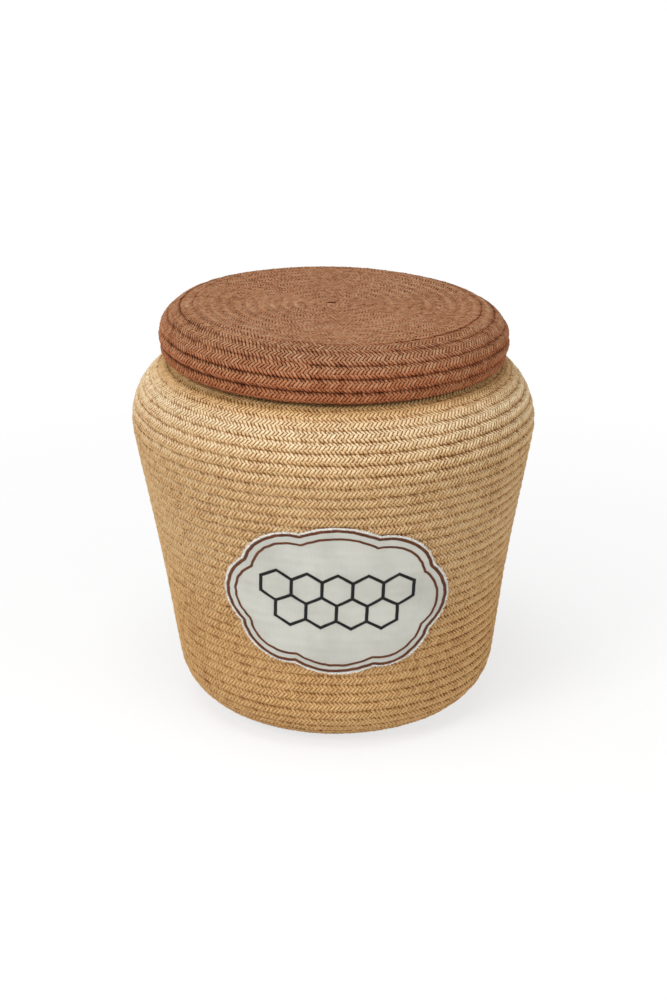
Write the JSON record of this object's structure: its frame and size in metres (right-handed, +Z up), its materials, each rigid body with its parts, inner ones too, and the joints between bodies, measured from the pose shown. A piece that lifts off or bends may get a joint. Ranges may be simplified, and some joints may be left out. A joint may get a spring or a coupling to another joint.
{
  "type": "lidded coiled rope storage basket in the form of a honey pot",
  "caption": "Round storage basket of coiled braided cotton rope, shaped like a honey pot, with a darker lift-off rope lid and an embroidered cloth label.",
  "frame": {"origin": "middle of the foot, on the surface the basket stands on", "axes": "+Z up along the basket's axis; the label faces -Y"},
  "size_m": [0.3, 0.3, 0.3085],
  "materials": {
    "body_rope": "tan braided cotton rope",
    "lid_rope": "brown braided cotton rope",
    "label_cloth": "off-white plain weave cotton with raw edges",
    "border_thread": "brown embroidery thread",
    "dark_thread": "black embroidery thread"
  },
  "bodies": {
    "root": {"basket": "body_rope", "lid": "lid_rope", "label": "label_cloth", "label_border_outer": "border_thread", "label_border_inner": "border_thread", "label_honeycomb": "dark_thread"}
  },
  "joints": []
}
